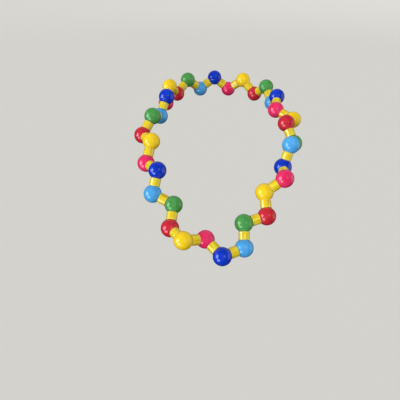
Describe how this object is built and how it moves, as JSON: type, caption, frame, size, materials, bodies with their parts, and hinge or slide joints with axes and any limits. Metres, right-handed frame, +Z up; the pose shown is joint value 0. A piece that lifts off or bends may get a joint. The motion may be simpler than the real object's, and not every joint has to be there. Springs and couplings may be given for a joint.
{
  "type": "beaded necklace",
  "caption": "Necklace of round glossy balls in changing colours and short yellow tube beads, zigzagging on one closed loop, in the shape it takes when worn round a neck.",
  "frame": {"origin": "the point where the back ball, opposite the front ball, touches the nape of the neck", "axes": "+Z up as worn, +Y backwards out of the nape, so the front of the necklace lies at -Y; +X to the right of someone facing the wearer"},
  "size_m": [0.1635, 0.2355, 0.1024],
  "materials": {
    "blue": "royal blue, opaque, high gloss",
    "light_blue": "sky blue, opaque, high gloss",
    "green": "mid green, opaque, high gloss",
    "red": "crimson red, opaque, high gloss",
    "yellow": "warm yellow, opaque, high gloss",
    "pink": "hot pink, opaque, high gloss",
    "tube_yellow": "greenish to warm yellow, faintly streaked lengthwise, soft gloss",
    "cord": "pale stretch cord, satin"
  },
  "bodies": {
    "root": {"ball_01_blue": "blue", "ball_02_light_blue": "light_blue", "ball_03_green": "green", "ball_04_red": "red", "ball_05_yellow": "yellow", "ball_06_pink": "pink", "ball_07_blue": "blue", "ball_08_light_blue": "light_blue", "ball_09_green": "green", "ball_10_red": "red", "ball_11_yellow": "yellow", "ball_12_pink": "pink", "ball_13_blue": "blue", "ball_14_light_blue": "light_blue", "ball_15_green": "green", "ball_16_red": "red", "ball_17_yellow": "yellow", "ball_18_pink": "pink", "ball_19_blue": "blue", "ball_20_light_blue": "light_blue", "ball_21_green": "green", "ball_22_red": "red", "ball_23_yellow": "yellow", "ball_24_pink": "pink", "ball_25_blue": "blue", "ball_26_light_blue": "light_blue", "ball_27_green": "green", "ball_28_red": "red", "ball_29_yellow": "yellow", "ball_30_pink": "pink", "ball_31_blue": "blue", "ball_32_light_blue": "light_blue", "ball_33_green": "green", "ball_34_red": "red", "ball_35_yellow": "yellow", "ball_36_pink": "pink", "tube_string_1": "tube_yellow", "tube_string_2": "tube_yellow", "tube_string_3": "tube_yellow", "tube_string_4": "tube_yellow", "tube_string_5": "tube_yellow", "tube_string_6": "tube_yellow"}
  },
  "joints": []
}
